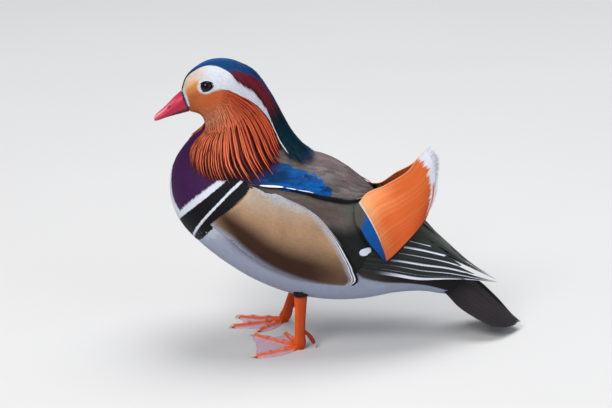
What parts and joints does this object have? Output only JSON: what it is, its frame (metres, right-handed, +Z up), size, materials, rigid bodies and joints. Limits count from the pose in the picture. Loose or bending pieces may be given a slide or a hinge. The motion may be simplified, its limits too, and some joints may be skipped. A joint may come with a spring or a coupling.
{
  "type": "mandarin duck drake, still display model",
  "caption": "Standing mandarin duck drake, life size: swept crest, hackled ruff, raised wing sails, folded wing tips, tail and webbed feet on one level.",
  "frame": {"origin": "on the floor, under the middle of the whole bird's box", "axes": "-X is where the bill points, +X the tail, -Y the bird's left side, +Z up"},
  "size_m": [0.3134, 0.1198, 0.2506],
  "materials": {
    "head_feathers": "soft matt feathers, white, buff and rufous",
    "crest_feathers": "silky feathers with a blue, maroon and green sheen",
    "ruff_feathers": "narrow orange-rufous hackles with pale shafts",
    "breast_feathers": "dense velvety purple-maroon, with two white and black bars",
    "belly_feathers": "soft white down and short feathers",
    "back_feathers": "matt olive-brown feathers with a blue patch",
    "wing_feathers": "matt grey-brown coverts with a metallic blue band",
    "flank_feathers": "golden-buff feathers with fine dark waves",
    "wing_quills": "sleek dark quills with silvery-white outer edges",
    "sail": "broad orange vane with fine barbs and a pale fringe",
    "tail_feathers": "sleek dark brown quills",
    "bill": "waxy crimson horn with a pale nail",
    "eye": "wet dark brown eyeball",
    "leg_skin": "orange scaly skin with greyish webs",
    "claw": "smooth pale horn"
  },
  "bodies": {
    "root": {"head": "head_feathers", "neck": "ruff_feathers", "breast": "breast_feathers", "trunk": "belly_feathers", "rump": "belly_feathers", "crest": "crest_feathers", "tail": "tail_feathers", "bill_upper": "bill", "bill_lower": "bill", "ruff_left": "ruff_feathers", "scapulars_left": "back_feathers", "wing_left": "wing_feathers", "flank_left": "flank_feathers", "wingtip_left": "wing_quills", "sail_left": "sail", "eye_left": "eye", "leg_left": "leg_skin", "foot_left": "leg_skin", "hind_toe_left": "leg_skin", "claw_left_1": "claw", "claw_left_2": "claw", "claw_left_3": "claw", "claw_left_4": "claw", "ruff_right": "ruff_feathers", "scapulars_right": "back_feathers", "wing_right": "wing_feathers", "flank_right": "flank_feathers", "wingtip_right": "wing_quills", "sail_right": "sail", "eye_right": "eye", "leg_right": "leg_skin", "foot_right": "leg_skin", "hind_toe_right": "leg_skin", "claw_right_1": "claw", "claw_right_2": "claw", "claw_right_3": "claw", "claw_right_4": "claw"}
  },
  "joints": []
}
